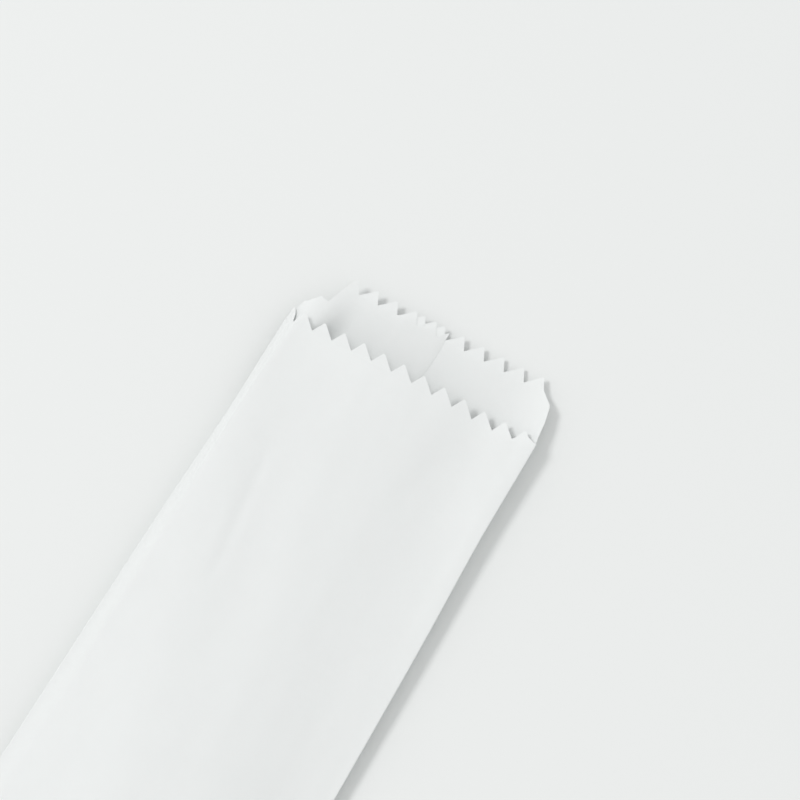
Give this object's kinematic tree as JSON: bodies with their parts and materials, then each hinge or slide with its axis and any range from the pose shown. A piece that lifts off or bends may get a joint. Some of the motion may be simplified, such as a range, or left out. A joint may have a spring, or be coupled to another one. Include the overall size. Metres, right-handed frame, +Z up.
{
  "type": "paper cutlery sleeve",
  "caption": "Flat white paper sleeve for table cutlery, with a zigzag mouth whose back panel stands past the front, a glued back seam and a turned-up bottom",
  "frame": {"origin": "under the middle of the sleeve's bounding box, on the surface it lies on", "axes": "+Y along the sleeve towards its open mouth, +X across it to the right as seen from above, +Z up out of the front panel"},
  "size_m": [0.075, 0.242, 0.0089],
  "materials": {
    "white_paper": "matt, smooth, faint fibres"
  },
  "bodies": {
    "root": {"paper_sleeve": "white_paper"}
  },
  "joints": []
}
